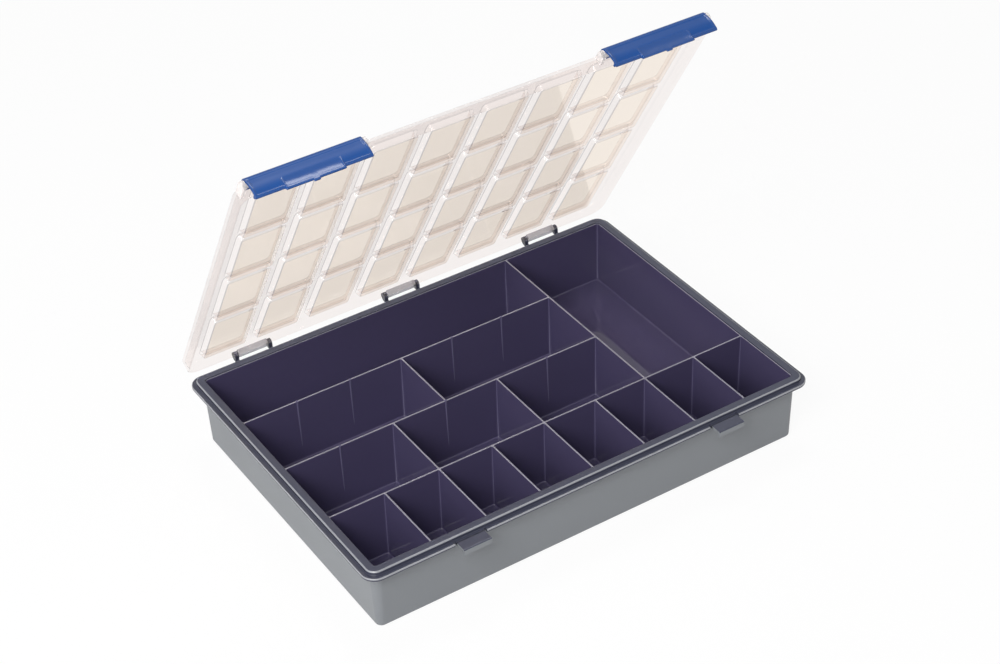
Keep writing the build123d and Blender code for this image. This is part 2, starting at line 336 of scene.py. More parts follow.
def new_material(name):
    """Empty material with an output and a Principled BSDF joined to it."""
    material = bpy.data.materials.new(name)
    material.use_nodes = True
    tree = material.node_tree
    tree.nodes.clear()
    output = node(tree, "ShaderNodeOutputMaterial", 700, 0)
    shader = node(tree, "ShaderNodeBsdfPrincipled", 400, 0)
    tree.links.new(shader.outputs[0], output.inputs[0])
    return material, tree, shader


def grain_group():
    """Fine moulded grain and slow unevenness, worked out once for all the plastics."""
    name = "Moulded grain"
    if name in bpy.data.node_groups:
        return bpy.data.node_groups[name]
    tree = bpy.data.node_groups.new(name, "ShaderNodeTree")
    for label, default in (("Grain size", 0.0006), ("Marks", 0.3)):
        socket = tree.interface.new_socket(label, in_out="INPUT", socket_type="NodeSocketFloat")
        socket.default_value = default
    for label in ("Height", "Rub"):
        tree.interface.new_socket(label, in_out="OUTPUT", socket_type="NodeSocketFloat")
    inputs = node(tree, "NodeGroupInput", -800, 0)
    outputs = node(tree, "NodeGroupOutput", 400, 0)
    place = node(tree, "ShaderNodeTexCoord", -800, 300)
    scale = node(tree, "ShaderNodeMath", -600, 0, operation="DIVIDE")
    scale.inputs[0].default_value = 1.0
    fine = node(tree, "ShaderNodeTexNoise", -400, 200)
    fine.inputs["Detail"].default_value = 2.0
    slow = node(tree, "ShaderNodeTexNoise", -400, -200)
    slow.inputs["Scale"].default_value = 18.0
    slow.inputs["Detail"].default_value = 5.0
    rub = node(tree, "ShaderNodeMath", 0, -200, operation="MULTIPLY")
    tree.links.new(inputs.outputs["Grain size"], scale.inputs[1])
    tree.links.new(scale.outputs[0], fine.inputs["Scale"])
    for texture in (fine, slow):
        tree.links.new(place.outputs["Object"], texture.inputs["Vector"])
    tree.links.new(slow.outputs["Fac"], rub.inputs[0])
    tree.links.new(inputs.outputs["Marks"], rub.inputs[1])
    tree.links.new(fine.outputs["Fac"], outputs.inputs["Height"])
    tree.links.new(rub.outputs[0], outputs.inputs["Rub"])
    return tree


def plastic(name, base, roughness, grain_size, bump, marks, shine=0.5):
    """Opaque moulded plastic with grain and faint handling marks."""
    material, tree, shader = new_material(name)
    grain = node(tree, "ShaderNodeGroup", -300, 0)
    grain.node_tree = grain_group()
    grain.inputs["Grain size"].default_value = grain_size
    grain.inputs["Marks"].default_value = marks
    rough = node(tree, "ShaderNodeMath", 0, 0, operation="ADD")
    rough.inputs[1].default_value = roughness - marks / 2
    lift = node(tree, "ShaderNodeBump", 0, -250)
    lift.inputs["Strength"].default_value = bump
    lift.inputs["Distance"].default_value = 0.00005
    tree.links.new(grain.outputs["Rub"], rough.inputs[0])
    tree.links.new(rough.outputs[0], shader.inputs["Roughness"])
    tree.links.new(grain.outputs["Height"], lift.inputs["Height"])
    tree.links.new(lift.outputs[0], shader.inputs["Normal"])
    shader.inputs["Base Color"].default_value = (*base, 1.0)
    shader.inputs["IOR"].default_value = 1.5
    shader.inputs["Specular IOR Level"].default_value = shine
    return material


def clear_plastic(name, tint, pad_tint, painted_line_tint, roughness, bend, clearness=1.0):
    """Clear moulded plastic, warmer where the attribute named pad is one and darker where line is one, that
    darkening being painted shade in place of refraction lines.
    """
    material, tree, shader = new_material(name)
    result = None
    for k, (mask, colour_there) in enumerate((("pad", pad_tint), ("line", painted_line_tint))):
        place = node(tree, "ShaderNodeAttribute", -600 + 300 * k, -200, attribute_name=mask)
        mix = node(tree, "ShaderNodeMix", -300 + 300 * k, 0, data_type="RGBA")
        colours = [socket for socket in mix.inputs if socket.type == "RGBA"]
        colours[0].default_value = (*tint, 1.0)
        colours[1].default_value = (*colour_there, 1.0)
        if result:
            tree.links.new(result, colours[0])
        tree.links.new(place.outputs["Fac"], mix.inputs["Factor"])
        result = [socket for socket in mix.outputs if socket.type == "RGBA"][0]
    tree.links.new(result, shader.inputs["Base Color"])
    shader.inputs["Roughness"].default_value = roughness
    shader.inputs["IOR"].default_value = bend
    shader.inputs["Transmission Weight"].default_value = clearness
    shader.inputs["Coat Weight"].default_value = 0.5
    shader.inputs["Coat Roughness"].default_value = 0.05
    return material


# Tray

def cell_sides(cell, settings, depth_share, offset):
    """Limits of a compartment at a share of its depth, pushed outwards by an offset."""
    first_column, last_column, first_row, last_row = cell
    pitch_x = settings.column_pitch / MM
    pitch_y = settings.row_pitch / MM
    top = settings.divider_top / MM / 2
    foot = settings.divider_foot / MM / 2
    half = top + (foot - top) * depth_share - offset
    inset = TOP_INSET + DRAFT_INSET * depth_share - offset
    west = (first_column - COLUMNS / 2) * pitch_x + half if first_column else inset - CAVITY[0]
    east = (last_column - COLUMNS / 2) * pitch_x - half if last_column < COLUMNS else CAVITY[0] - inset
    south = (first_row - ROWS / 2) * pitch_y + half if first_row else inset - CAVITY[1]
    north = (last_row - ROWS / 2) * pitch_y - half if last_row < ROWS else CAVITY[1] - inset
    return west, east, south, north


def cell_radii(cell, depth_share, offset):
    """Corner radii of a compartment, larger in the corners of the tray."""
    first_column, last_column, first_row, last_row = cell
    at_west, at_east = first_column == 0, last_column == COLUMNS
    at_south, at_north = first_row == 0, last_row == ROWS
    corners = (at_east and at_south, at_east and at_north, at_west and at_north, at_west and at_south)
    return [(1.8 if corner else 0.9 + 0.9 * depth_share) + offset for corner in corners]


def pocket(mesh, cell, settings):
    """Drafted hollow of one compartment with a rounded top edge and floor; gives back its top loop."""
    edge = settings.edge_radius / MM
    root = settings.floor_radius / MM
    profile = quarter((edge, DIVIDER_TOP), (0.0, DIVIDER_TOP - edge), False)
    profile += quarter((0.0, FLOOR_TOP + root), (-root, FLOOR_TOP), True, 4)
    rings = []
    for offset, level in profile:
        depth_share = (DIVIDER_TOP - level) / (DIVIDER_TOP - FLOOR_TOP)
        rings.append(rounded_ring(cell_sides(cell, settings, depth_share, offset),
                                  cell_radii(cell, depth_share, offset), level, 5))
    loops = skin(mesh, rings)
    mesh.faces.new(loops[-1])
    return loops[0]


def tray_profile():
    """Rim, flange, channel, outer wall and foot as (distance outside the cavity, level, corner radius)."""
    points = [(0.0, DIVIDER_TOP, 2.0)]
    points += [(d, z, 2.0 + 0.8 * d) for d, z in quarter((0.0, RIM_TOP - 0.35), (0.35, RIM_TOP), True)]
    rim = quarter((4.4, RIM_TOP), (BAND_REACH, RIM_TOP - 1.2), False, 5)
    rim += quarter((BAND_REACH, FLANGE_TOP + 0.3), (5.9, FLANGE_TOP), True)
    rim += quarter((8.4, FLANGE_TOP), (FLANGE_REACH, FLANGE_TOP - 0.5), False, 4)
    rim.append((FLANGE_REACH, FLANGE_TOP - 0.95))
    rim += quarter((FLANGE_REACH, FLANGE_BOTTOM + 0.5), (8.4, FLANGE_BOTTOM), True, 4)
    points += [(d, z, d + 1.1) for d, z in rim]
    channel_top = 49.1
    points += [(4.1, FLANGE_BOTTOM, 5.2), (4.1, channel_top, 5.2), (WALL, channel_top, 6.0),
               (WALL, FLANGE_BOTTOM, 6.0)]
    lean = tan(radians(1.75))
    foot = WALL - FLANGE_BOTTOM * lean
    points += [(d, z, 3.8 + d) for d, z in quarter((foot + 2.0 * lean, 2.0), (foot - 2.0, 0.0), True, 5)]
    return points


def cheek_outline():
    """Horn-shaped hinge cheek as seen along X."""
    crown = arc(HINGE, CHEEK_RADIUS, range(180, -1, -15))
    back = [(125.6, 48.0), (124.0, 46.9), (122.0, 46.3), (119.6, 46.0)]
    return [(119.6, 47.6), (HINGE[0] - CHEEK_RADIUS, 47.6)] + crown + back


def catch_outline():
    """Front catch as seen along X: a plate with a lip that the clip's nose goes under."""
    front = [(CATCH_FRONT + 1.0 - sin(radians(a)), 46.7 + cos(radians(a))) for a in range(0, 91, 18)]
    return [(-119.6, 46.0), (-119.6, 47.7)] + front + [
        (CATCH_FRONT, 43.5), (CATCH_FRONT + 0.3, 43.2), (CATCH_FRONT + 1.3, 43.2),
        (CATCH_FRONT + 1.6, 43.5), (CATCH_FRONT + 1.6, 46.0)]


def cut_notches(tray):
    """Cuts the relief notches beside the catches out of the flange."""
    mesh = bmesh.new()
    for middle in CATCHES:
        for side in (-1, 1):
            centre = middle + side * NOTCH_OFFSET
            extruded(mesh, [(-118.2, 44.0), (-125.0, 44.0), (-125.0, 49.0), (-118.2, 49.0)],
                     centre - NOTCH_HALF, centre + NOTCH_HALF)
    cutter = to_object("notch cutter", mesh)
    cut = tray.modifiers.new("notches", "BOOLEAN")
    cut.operation = "DIFFERENCE"
    cut.object = cutter
    baked(tray)
    bpy.data.objects.remove(cutter)


def build_tray(settings):
    """Tray with its pockets, web of divider tops, rim, flange and outer walls."""
    mesh = bmesh.new()
    tops = [pocket(mesh, cell, settings) for cell in CELLS]
    rings = [rounded_ring(centred(CAVITY[0] + d, CAVITY[1] + d), [r] * 4, z, 12)
             for d, z, r in tray_profile()]
    loops = skin(mesh, rings)
    mesh.faces.new(loops[-1])
    fill(mesh, loops[0], *tops)
    return to_object("tray_body", mesh)


def build_tray_fittings():
    """Hinge cheeks and front catches, let into the flange."""
    mesh = bmesh.new()
    for middle in HINGES:
        for side in (-1, 1):
            inner_x = middle + side * (CHEEK_SPACING / 2 - 1.1)
            start, end = sorted((inner_x, inner_x + side * 2.8))
            extruded(mesh, cheek_outline(), start, end)
    for middle in CATCHES:
        extruded(mesh, catch_outline(), middle - CATCH_HALF, middle + CATCH_HALF)
    sharp = [edge for edge in mesh.edges if edge.calc_face_angle(0) > radians(50)]
    bmesh.ops.bevel(mesh, geom=sharp, offset=0.25, segments=2, profile=0.5, affect="EDGES")
    return to_object("tray_fittings", mesh)


def rib_tree(material):
    """Geometry Nodes tree that stands a round post on each point of a mesh."""
    tree = bpy.data.node_groups.new("Stub ribs", "GeometryNodeTree")
    tree.interface.new_socket("Geometry", in_out="INPUT", socket_type="NodeSocketGeometry")
    for name, value in (("Radius", 0.001), ("Height", 0.048)):
        socket = tree.interface.new_socket(name, in_out="INPUT", socket_type="NodeSocketFloat")
        socket.default_value = value
    tree.interface.new_socket("Geometry", in_out="OUTPUT", socket_type="NodeSocketGeometry")
    inputs = node(tree, "NodeGroupInput", -600, 0)
    outputs = node(tree, "NodeGroupOutput", 800, 0)
    post = node(tree, "GeometryNodeMeshCylinder", -300, -200)
    post.inputs["Vertices"].default_value = 20
    place = node(tree, "GeometryNodeInstanceOnPoints", 0, 0)
    real = node(tree, "GeometryNodeRealizeInstances", 250, 0)
    finish = node(tree, "GeometryNodeSetMaterial", 500, 0)
    finish.inputs["Material"].default_value = material
    tree.links.new(inputs.outputs["Geometry"], place.inputs["Points"])
    tree.links.new(inputs.outputs["Radius"], post.inputs["Radius"])
    tree.links.new(inputs.outputs["Height"], post.inputs["Depth"])
    tree.links.new(post.outputs["Mesh"], place.inputs["Instance"])
    tree.links.new(place.outputs["Instances"], real.inputs["Geometry"])
    tree.links.new(real.outputs["Geometry"], finish.inputs["Geometry"])
    tree.links.new(finish.outputs["Geometry"], outputs.inputs["Geometry"])
    return tree


def run_tree(piece, tree, values):
    """Runs a Geometry Nodes tree on an object with named values and keeps the plain result."""
    modifier = piece.modifiers.new(tree.name, "NODES")
    modifier.node_group = tree
    for item in tree.interface.items_tree:
        if item.item_type == "SOCKET" and item.in_out == "INPUT" and item.name in values:
            modifier[item.identifier] = values[item.name]
    return baked(piece)


def build_ribs(settings, material):
    """Round stub ribs in the row walls."""
    bottom, top = 1.0, DIVIDER_TOP + 0.02
    mesh = bmesh.new()
    for column_line, row_line in STUB_RIBS:
        mesh.verts.new(((column_line - COLUMNS / 2) * settings.column_pitch / MM,
                        (row_line - ROWS / 2) * settings.row_pitch / MM, (bottom + top) / 2))
    piece = to_object("tray_stub_ribs", mesh)
    return run_tree(piece, rib_tree(material), {"Radius": settings.rib_radius, "Height": (top - bottom) * MM})


def beyond_cavity(x, y):
    """How far a place lies outside the rounded outline of the cavity, in millimetres."""
    radius = 4.0
    side_x = abs(x) - CAVITY[0] + radius
    side_y = abs(y) - CAVITY[1] + radius
    if side_x > 0 and side_y > 0:
        return hypot(side_x, side_y) - radius
    return max(side_x, side_y) - radius


class STORAGEBOX_OT_tray(bpy.types.Operator):
    """Build the tray with its compartments, rim, hinge cheeks, catches and stub ribs"""
    bl_idname = "storagebox.tray"
    bl_label = "Build the tray"

    def execute(self, context):
        settings = context.scene.storage_tray
        # Painted shade inside the compartments
        inner = plastic("Polished dark plastic", settings.inner_shaded_colour, settings.polish, 0.0006, 0.05, 0.04)
        # Painted light on the outer walls and the catches' fronts
        outer = plastic("Textured dark plastic", settings.outer_lit_colour, settings.texture, 0.0004, 0.4, 0.1)
        # Painted highlight on the tops of the dividers
        edge = plastic("Pale divider edge", settings.divider_highlight_colour, 0.3, 0.0005, 0.1, 0.1)
        rim = plastic("Satin dark plastic", settings.rim_colour, settings.satin, 0.0006, 0.15, 0.08)
        top = plastic("Satin rim top", settings.lit_top_colour, settings.satin, 0.0006, 0.15, 0.08)
        # Painted highlight along the rounded edges of the rim and the flange
        line = plastic("Pale rim line", settings.painted_line_colour, 0.22, 0.0005, 0.1, 0.1, 1.0)
        # Painted highlight on the stub ribs and in the compartments' corners
        corner = plastic("Pale corner", settings.corner_highlight_colour, 0.12, 0.0006, 0.05, 0.04)
        body = build_tray(settings)
        cut_notches(body)
        settle(body, [inner, outer, edge, rim, top, line, corner], "tray", "tray")
        # Faces left at slot nought keep the inner colour with its painted shade.
        for face in body.data.polygons:
            x, y, z = (value / MM for value in face.center)
            beyond = beyond_cavity(x, y)
            outside = beyond > 0.4
            # Outer walls and foot: the lighter outer colour, painted light.
            if z < FLANGE_BOTTOM - 0.1 and (outside or z < 1):
                face.material_index = OUTER
            # Painted highlight on the rounded outer edge of the rim top and the upper edge of the flange.
            elif RIM_TOP - 0.85 < z < RIM_TOP - 0.06 and beyond > 4.3:
                face.material_index = RIM_HIGHLIGHT
            elif FLANGE_TOP - 0.96 < z < FLANGE_TOP - 0.01 and beyond > 8.2:
                face.material_index = RIM_HIGHLIGHT
            # Painted light: the upward-facing rim top is lighter than the flange.
            elif z > RIM_TOP - 0.4 and outside:
                face.material_index = TOP
            elif outside or z > DIVIDER_TOP + 0.05:
                face.material_index = RIM
            # Painted highlight along the tops of the dividers.
            elif z > DIVIDER_TOP - 0.25:
                face.material_index = DIVIDER_HIGHLIGHT
            # Painted highlight down the rounded vertical corners of the compartments.
            elif 5 < z < 45 and abs(abs(face.normal.x) - abs(face.normal.y)) < 0.2:
                face.material_index = CORNER_HIGHLIGHT
        fittings = build_tray_fittings()
        settle(fittings, [rim, outer, top], "tray", "tray")
        # The catches: their fronts in the outer colour and their tops in the rim top colour, each a
        # painted-light copy of the same plastic
        for face in fittings.data.polygons:
            if face.center.y < 0:
                face.material_index = 2 if face.normal.z > 0.3 else 1
        # The stub ribs take the painted corner highlight on their sides and the painted divider highlight on
        # their tops.
        ribs = build_ribs(settings, corner)
        settle(ribs, [edge], "tray", "tray")
        for face in ribs.data.polygons:
            if face.center.z > DIVIDER_TOP * MM:
                face.material_index = 1
        return {"FINISHED"}


# Lid

def pad_tile(mesh, level, half_x, half_y, settings, pitch_x, pitch_y, pad_layer, line_layer):
    """One tile of a lid surface with a pad pressed into it, its border a plain rectangle."""
    depth = settings.pad_depth / MM
    slope = settings.pad_slope / MM
    corner = settings.pad_corner / MM
    root = [(slope + o, level - d) for o, d in ((0.46, 0.0), (0.27, 0.06), (0.11, 0.2), (-0.02, 0.45))]
    toe = [(o, level - depth + d) for o, d in ((0.13, 0.62), (0.0, 0.32), (-0.22, 0.1), (-0.55, 0.0))]
    rings = [rounded_ring(centred(half_x + o, half_y + o), [corner + o] * 4, z, 4) for o, z in root + toe]
    loops = skin(mesh, rings)
    mesh.faces.new(loops[-1])
    for loop in loops[-2:]:
        for vertex in loop:
            vertex[pad_layer] = 1.0
    # Painted shade: the line attribute marks the rounded pad edges to be darkened.
    for loop in loops[1:3] + loops[-3:-1]:
        for vertex in loop:
            vertex[line_layer] = 1.0
    x, y = pitch_x / 2, pitch_y / 2
    border = [mesh.verts.new((u, v, level)) for u, v in ((x, -y), (x, y), (-x, y), (-x, -y))]
    first = loops[0]
    count = len(first) // 4
    for k in range(4):
        corner_points = first[k * count:(k + 1) * count]
        for a, b in zip(corner_points, corner_points[1:]):
            mesh.faces.new((border[k], b, a))
        next_point = first[(k + 1) * count % len(first)]
        mesh.faces.new((border[k], border[(k + 1) % 4], next_point, corner_points[-1]))


def build_tile(settings):
    """Upper and lower surface of the lid over one square of the grid."""
    wall = settings.thickness / MM
    tray = bpy.context.scene.storage_tray
    pitches = (tray.column_pitch / MM, tray.row_pitch / MM)
    half_x, half_y = settings.pad_width / MM / 2, settings.pad_length / MM / 2
    mesh = bmesh.new()
    mesh.verts.layers.float.new("pad")
    mesh.verts.layers.float.new("line")
    layers = [mesh.verts.layers.float[name] for name in ("pad", "line")]
    pad_tile(mesh, LID_TOP - wall, half_x, half_y, settings, *pitches, *layers)
    pad_tile(mesh, LID_TOP, half_x - wall, half_y - wall, settings, *pitches, *layers)
    return to_object("pad tile", mesh)


def lid_frame(settings):
    """Border of the lid and its skirt, open over the grid of pads."""
    wall = settings.thickness / MM
    tray = bpy.context.scene.storage_tray
    pitch_x, pitch_y = tray.column_pitch / MM, tray.row_pitch / MM
    under = LID_TOP - wall
    profile = quarter((-2.8, under), (-1.8, under - 1.0), False, 4)
    profile += quarter((-1.8, SKIRT_BOTTOM + 0.3), (-1.5, SKIRT_BOTTOM), True, 2)
    profile += quarter((-0.3, SKIRT_BOTTOM), (0.0, SKIRT_BOTTOM + 0.3), False, 2)
    profile += quarter((0.0, LID_TOP - 1.5), (-1.5, LID_TOP), True, 5)
    mesh = bmesh.new()
    for name in ("pad", "line"):
        mesh.verts.layers.float.new(name)
    rings = [rounded_ring(centred(LID_HALF[0] + d, LID_HALF[1] + d), [10.0 + d] * 4, z, 12)
             for d, z in profile]
    loops = skin(mesh, rings)
    x, y = COLUMNS * pitch_x / 2, ROWS * pitch_y / 2
    outline = [(-x + k * pitch_x, -y) for k in range(COLUMNS)] + [(x, -y + k * pitch_y) for k in range(ROWS)]
    outline += [(x - k * pitch_x, y) for k in range(COLUMNS)] + [(-x, y - k * pitch_y) for k in range(ROWS)]
    for loop, level in ((loops[0], under), (loops[-1], LID_TOP)):
        hole = [mesh.verts.new((u, v, level)) for u, v in outline]
        fill(mesh, loop, hole)
    return to_object("lid_cover", mesh)


def lid_tree(material):
    """Geometry Nodes tree that sets a pad tile on each square of the grid and joins them to the border."""
    tree = bpy.data.node_groups.new("Lid of pads", "GeometryNodeTree")
    tree.interface.new_socket("Geometry", in_out="INPUT", socket_type="NodeSocketGeometry")
    tree.interface.new_socket("Tile", in_out="INPUT", socket_type="NodeSocketObject")
    for name, value, kind in (("Columns", 8, "NodeSocketInt"), ("Rows", 4, "NodeSocketInt"),
                              ("Column pitch", 0.04, "NodeSocketFloat"),
                              ("Row pitch", 0.0564, "NodeSocketFloat")):
        socket = tree.interface.new_socket(name, in_out="INPUT", socket_type=kind)
        socket.default_value = value
    tree.interface.new_socket("Geometry", in_out="OUTPUT", socket_type="NodeSocketGeometry")
    inputs = node(tree, "NodeGroupInput", -1000, 0)
    outputs = node(tree, "NodeGroupOutput", 1200, 0)
    grid = node(tree, "GeometryNodeMeshGrid", -300, -100)
    for k, (count, pitch, side) in enumerate((("Columns", "Column pitch", "X"), ("Rows", "Row pitch", "Y"))):
        less = node(tree, "ShaderNodeMath", -750, -200 * k, operation="SUBTRACT")
        less.inputs[1].default_value = 1.0
        span = node(tree, "ShaderNodeMath", -550, -200 * k, operation="MULTIPLY")
        tree.links.new(inputs.outputs[count], less.inputs[0])
        tree.links.new(less.outputs[0], span.inputs[0])
        tree.links.new(inputs.outputs[pitch], span.inputs[1])
        tree.links.new(span.outputs[0], grid.inputs["Size " + side])
        tree.links.new(inputs.outputs[count], grid.inputs["Vertices " + side])
    tile = node(tree, "GeometryNodeObjectInfo", -300, -400)
    tree.links.new(inputs.outputs["Tile"], tile.inputs["Object"])
    place = node(tree, "GeometryNodeInstanceOnPoints", 0, -100)
    tree.links.new(grid.outputs["Mesh"], place.inputs["Points"])
    tree.links.new(tile.outputs["Geometry"], place.inputs["Instance"])
    join = node(tree, "GeometryNodeJoinGeometry", 250, 0)
    tree.links.new(inputs.outputs["Geometry"], join.inputs[0])
    tree.links.new(place.outputs["Instances"], join.inputs[0])
    real = node(tree, "GeometryNodeRealizeInstances", 450, 0)
    weld = node(tree, "GeometryNodeMergeByDistance", 650, 0)
    weld.inputs["Distance"].default_value = 0.00002
    finish = node(tree, "GeometryNodeSetMaterial", 900, 0)
    finish.inputs["Material"].default_value = material
    tree.links.new(join.outputs[0], real.inputs[0])
    tree.links.new(real.outputs[0], weld.inputs[0])
    tree.links.new(weld.outputs[0], finish.inputs["Geometry"])
    tree.links.new(finish.outputs[0], outputs.inputs["Geometry"])
    return tree


def reopen(piece, placement):
    """Turns a finished mesh in metres to its place and makes its faces point outwards."""
    turn = Matrix.Scale(MM, 4) @ placement @ Matrix.Scale(1 / MM, 4)
    mesh = bmesh.new()
    mesh.from_mesh(piece.data)
    mesh.transform(turn)
    bmesh.ops.recalc_face_normals(mesh, faces=mesh.faces)
    mesh.to_mesh(piece.data)
    mesh.free()


def build_barrels():
    """Hinge barrels with their pins and webs."""
    mesh = bmesh.new()
    for middle in HINGES:
        half = (CHEEK_SPACING - 2.2 - 0.6) / 2
        y, z = HINGE
        back = arc(HINGE, BARREL_RADIUS, range(-90, 91, 15))
        web = [(120.62, SKIRT_BOTTOM), (y - 0.6, SKIRT_BOTTOM)] + back + [(120.62, z + BARREL_RADIUS)]
        extruded(mesh, web, middle - half, middle + half)
        for side in (-1, 1):
            start, end = sorted((middle + side * half, middle + side * (half + 2.5)))
            round_rod(mesh, y, z, PIN_RADIUS, start, end, 0.15, 20)
    return mesh


def build_bars():
    """Bars that the clips swing on, each between two end plates."""
    mesh = bmesh.new()
    for middle in CLIPS:
        span = CLIP_LENGTH / 2 + RUNNING_GAP
        round_rod(mesh, *BAR, BAR_RADIUS, middle - span, middle + span, 0.02)
        z = BAR[1]
        front = arc(BAR, BAR_END_RADIUS, range(90, 271, 15))
        for side in (-1, 1):
            start, end = sorted((middle + side * span, middle + side * (span + 2.4)))
            root = -117.0 if side * middle > 0 else -120.0
            extruded(mesh, front + [(root, z - BAR_END_RADIUS), (root, z + BAR_END_RADIUS)], start, end)
    return mesh


class STORAGEBOX_OT_lid(bpy.types.Operator):
    """Build the clear lid with its pads, skirt, hinge barrels and clip bars"""
    bl_idname = "storagebox.lid"
    bl_label = "Build the lid"

    def execute(self, context):
        settings = context.scene.storage_lid
        tray = context.scene.storage_tray
        clear = clear_plastic("Clear plastic", settings.clear_colour, settings.pad_colour,
                              settings.painted_line_colour, settings.haze, settings.bend)
        tile = build_tile(settings)
        cover = lid_frame(settings)
        run_tree(cover, lid_tree(clear), {"Tile": tile, "Columns": COLUMNS, "Rows": ROWS,
                                          "Column pitch": tray.column_pitch, "Row pitch": tray.row_pitch})
        bpy.data.objects.remove(tile)
        reopen(cover, OPENED)
        settle(cover, [], "lid", "lid")
        thick = clear_plastic("Thick clear plastic", settings.barrel_colour, settings.barrel_colour,
                              settings.barrel_colour, settings.haze, settings.bend, clearness=0.6)
        pale = clear_plastic("Clear bar plastic", settings.clear_colour, settings.clear_colour,
                             settings.painted_line_colour, settings.haze, settings.bend, clearness=0.45)
        for name, mesh, material in (("lid_barrels", build_barrels(), thick),
                                     ("lid_bars", build_bars(), pale)):
            sharp = [edge for edge in mesh.edges if edge.calc_face_angle(0) > radians(70)]
            bmesh.ops.bevel(mesh, geom=sharp, offset=0.12, segments=1, affect="EDGES")
            settle(to_object(name, mesh, OPENED), [material], "lid", "lid")
        return {"FINISHED"}


# Clips

def clip_outline(settings, rib, pull, scoop, tab):
    """Profile of a clip along X; shares say how far a rib, the lip, its hollow or its tab is there."""
    z = BAR[1]
    bulge = settings.bulge / MM
    sunk = settings.panel_depth / MM * (1 - rib)
    flare = settings.thumb_flare / MM
    lip_bottom = CLIP_BOTTOM - settings.thumb_drop / MM
    bottom = CLIP_BOTTOM + (lip_bottom - CLIP_BOTTOM) * pull - settings.tab_drop / MM * tab
    bead = CLIP_BOTTOM + settings.rib_width / MM

    def bow(level):
        """How far the plate bows outwards at a level."""
        across = (level - CLIP_MIDDLE) / (z - CLIP_MIDDLE)
        return bulge * max(0.0, 1 - across * across)

    outer = arc(BAR, HOOK_RADIUS, range(-20, 181, 10))
    plain = [(z - 0.05, 0.0), (z - 0.5, sunk)]
    plain += [(z - 0.5 - (z - 0.5 - bead - 0.2) * k / 9, sunk) for k in range(1, 10)]
    plain += [(bead, 0.16), (bead - 0.5, 0.0), (CLIP_BOTTOM + 0.7, 0.04), (CLIP_BOTTOM, 0.4)]
    plate = []
    for level, inset in plain:
        front = CLIP_FRONT - bow(level) + inset
        if level < CLIP_MIDDLE:
            share_down = (CLIP_MIDDLE - level) / (CLIP_MIDDLE - CLIP_BOTTOM)
            lip_level = CLIP_MIDDLE + (bottom - CLIP_MIDDLE) * share_down
            lip = CLIP_FRONT - bulge + settings.panel_depth / MM
            lip += (CLIP_FRONT - flare - lip) * share_down
            lip += settings.scoop_depth / MM * scoop * sin(pi * min(1.0, share_down / 0.9))
            lip += 0.3 * max(0.0, share_down - 0.85) / 0.15
            front += (lip - front) * pull
            level += (lip_level - level) * pull
        plate.append((front, level))
    back_bottom = CLIP_BACK - flare * pull
    root = CLIP_BOTTOM + 0.4
    edge = [(back_bottom - 0.3, bottom), (back_bottom, bottom + 0.3), (CLIP_BACK - bow(root), root)]
    nose = [(CLIP_BACK - bow(NOSE_BOTTOM), NOSE_BOTTOM), (-127.5, NOSE_BOTTOM), (NOSE_TIP, 41.7),
            (NOSE_TIP, 42.6), (-127.5, NOSE_TOP), (CLIP_BACK - bow(NOSE_TOP), NOSE_TOP)]
    inner = []
    for step in range(1, 9):
        level = NOSE_TOP + (z - NOSE_TOP) * step / 9
        inner.append((CLIP_BACK - bow(level), level))
    hook = arc(BAR, BAR_RADIUS + BORE_CLEARANCE, range(180, -21, -10))
    return outer + plate + edge + nose + inner + hook


def build_clip(name, middle, settings):
    """Snap clip: a hook round the bar, a bowed plate with a bead and a scooped thumb lip, and a nose."""
    half = CLIP_LENGTH / 2
    thumb = settings.thumb_width / MM / 2
    rib = settings.rib_width / MM
    places = [(half, 0.4, 0, 0, 0), (half - 0.3, 0.85, 0, 0, 0), (half - rib / 2, 1, 0, 0, 0),
              (half - rib + 0.3, 0.75, 0, 0, 0), (half - rib - 0.2, 0, 0, 0, 0),
              (half - 8, 0, 0, 0, 0), (thumb + 0.05, 0, 0, 0, 0), (thumb - 0.35, 0, 1, 0, 0),
              (thumb - 1.2, 0, 1, 0, 0), (thumb - 1.6, 0, 1, 1, 0), (thumb - 8, 0, 1, 1, 0),
              (2.2, 0, 1, 1, 0), (1.9, 0, 1, 1, 1)]
    stations = [(-place[0], *place[1:]) for place in places] + list(reversed(places))
    mesh = bmesh.new()
    rings = [[Vector((middle + x, y, z)) for y, z in clip_outline(settings, *shares)]
             for x, *shares in stations]
    loops = skin(mesh, rings)
    mesh.faces.new(loops[0])
    mesh.faces.new(loops[-1])
    return to_object(name, mesh, CLIP_OPENED)


class STORAGEBOX_OT_clips(bpy.types.Operator):
    """Build the two snap clips"""
    bl_idname = "storagebox.clips"
    bl_label = "Build the clips"

    def execute(self, context):
        settings = context.scene.storage_clips
        satin = plastic("Satin blue plastic", settings.blue, settings.satin, 0.0006, 0.25, 0.15, 0.35)
        polished = plastic("Rubbed blue plastic", settings.blue, settings.polish, 0.0008, 0.01, 0.08, 0.6)
        half, lip = CLIP_LENGTH / 2, settings.thumb_width / MM / 2
        for name, middle in zip(("clip_left", "clip_right"), CLIPS):
            clip = build_clip(name + "_moulding", middle, settings)
            closed = CLIP_OPENED.inverted() @ Matrix.Scale(1 / MM, 4)
            for face in clip.data.polygons:
                x, y, z = closed @ face.center
                across = abs(x - middle)
                on_lip = across < lip and z < CLIP_MIDDLE - 0.5
                on_bead = across > half - settings.rib_width / MM or z < CLIP_BOTTOM + settings.rib_width / MM
                face.material_index = int(y < CLIP_FRONT + 0.5 and (on_lip or on_bead))
            soften = clip.modifiers.new("soft edges", "BEVEL")
            soften.width = 0.2 * MM
            soften.segments = 2
            soften.limit_method = "ANGLE"
            soften.angle_limit = radians(64)
            settle(clip, [satin, polished], name, name, 64)
        return {"FINISHED"}


# Stage

